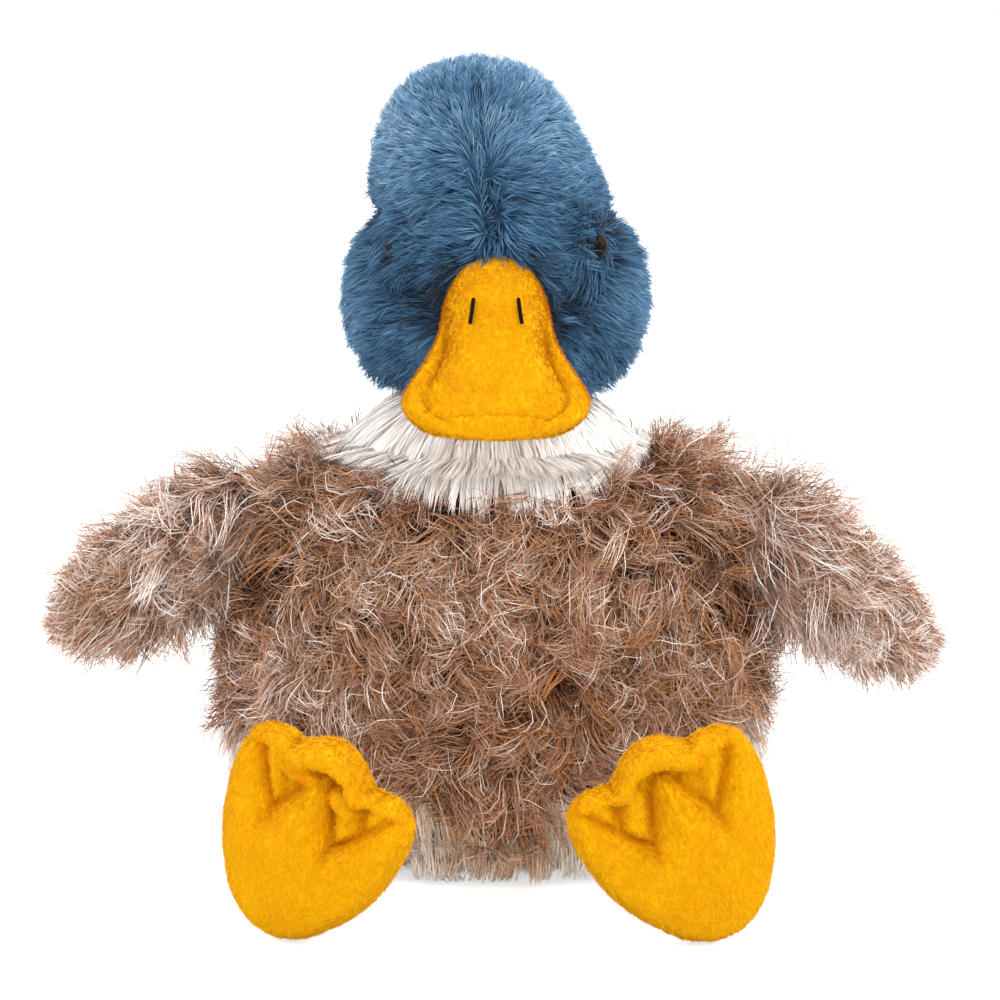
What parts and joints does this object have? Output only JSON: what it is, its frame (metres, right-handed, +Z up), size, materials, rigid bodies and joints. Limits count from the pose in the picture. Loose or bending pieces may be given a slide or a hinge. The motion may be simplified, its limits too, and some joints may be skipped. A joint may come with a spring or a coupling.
{
  "type": "plush duck",
  "caption": "Sitting plush mallard duck with a long coat, a collar, stuffed wings, webbed feet and a flat bill; head, wings, legs, feet and tail turn on their seams.",
  "frame": {"origin": "centre of the flat underside that the duck sits on, at floor height", "axes": "+X towards the duck's left wing, -Y towards the soles and the bill, +Z up"},
  "size_m": [0.2605, 0.2078, 0.2335],
  "materials": {
    "coat": "long shaggy pile",
    "underside": "long shaggy pile",
    "collar": "long straight pile",
    "head_plush": "short brushed pile",
    "velboa": "very short velvet pile",
    "thread": "satin thread",
    "eye": "glossy",
    "washer": "moulded",
    "filling": "loose fibre",
    "pellet_bag": "woven"
  },
  "bodies": {
    "torso": {"body_front_panel": "coat", "body_back_panel": "coat", "body_under_panel": "underside", "body_stuffing": "filling", "pellet_bag": "pellet_bag"},
    "neck": {"neck_collar": "collar", "neck_stuffing": "filling"},
    "head": {"head_left_panel": "head_plush", "head_right_panel": "head_plush", "head_stuffing": "filling", "cheek_left_panel": "head_plush", "cheek_right_panel": "head_plush", "bill_upper_panel": "velboa", "bill_lower_panel": "velboa", "bill_stuffing": "filling", "eye_left": "eye", "eye_right": "eye", "eye_washer_left": "washer", "eye_washer_right": "washer", "nostril_stitch_left": "thread", "nostril_stitch_right": "thread"},
    "wing_left": {"wing_left_front_panel": "coat", "wing_left_back_panel": "coat", "wing_left_stuffing": "filling"},
    "wing_right": {"wing_right_front_panel": "coat", "wing_right_back_panel": "coat", "wing_right_stuffing": "filling"},
    "leg_left": {"leg_left_top_panel": "velboa", "leg_left_under_panel": "velboa", "leg_left_stuffing": "filling"},
    "leg_right": {"leg_right_top_panel": "velboa", "leg_right_under_panel": "velboa", "leg_right_stuffing": "filling"},
    "foot_left": {"foot_left_top_panel": "velboa", "foot_left_sole_panel": "velboa", "foot_left_stuffing": "filling"},
    "foot_right": {"foot_right_top_panel": "velboa", "foot_right_sole_panel": "velboa", "foot_right_stuffing": "filling"},
    "tail": {"tail_top_panel": "coat", "tail_under_panel": "coat", "tail_stuffing": "filling"}
  },
  "joints": [
    {"name": "neck_turn", "type": "hinge", "parent": "torso", "child": "neck", "pos_m": [0, 0, 0.119], "axis": [0, 0, 1], "range_deg": [-45, 45]},
    {"name": "head_nod", "type": "hinge", "parent": "neck", "child": "head", "pos_m": [0, 0, 0.0965], "axis": [1, 0, 0], "range_deg": [-15, 15]},
    {"name": "wing_left_swing", "type": "hinge", "parent": "torso", "child": "wing_left", "pos_m": [0.06911, 0, 0.09948], "axis": [0.4236, 0, -0.9058], "range_deg": [-45, 30]},
    {"name": "wing_right_swing", "type": "hinge", "parent": "torso", "child": "wing_right", "pos_m": [-0.06911, 0, 0.09948], "axis": [0.4236, 0, 0.9058], "range_deg": [-45, 30]},
    {"name": "leg_left_swing", "type": "hinge", "parent": "torso", "child": "leg_left", "pos_m": [0.03236, -0.05058, 0.021], "axis": [-0.9532, -0.3023, 0], "range_deg": [-50, 40]},
    {"name": "leg_right_swing", "type": "hinge", "parent": "torso", "child": "leg_right", "pos_m": [-0.03236, -0.05058, 0.021], "axis": [-0.9532, 0.3023, 0], "range_deg": [-50, 40]},
    {"name": "foot_left_flex", "type": "hinge", "parent": "leg_left", "child": "foot_left", "pos_m": [0.04526, -0.08419, 0.021], "axis": [-0.9945, -0.1045, 0], "range_deg": [-25, 20]},
    {"name": "foot_right_flex", "type": "hinge", "parent": "leg_right", "child": "foot_right", "pos_m": [-0.04168, -0.08535, 0.021], "axis": [-0.9205, 0.3907, 0], "range_deg": [-25, 20]},
    {"name": "tail_tip", "type": "hinge", "parent": "torso", "child": "tail", "pos_m": [0, 0.05719, 0.048], "axis": [1, 0, 0], "range_deg": [-25, 35]}
  ]
}
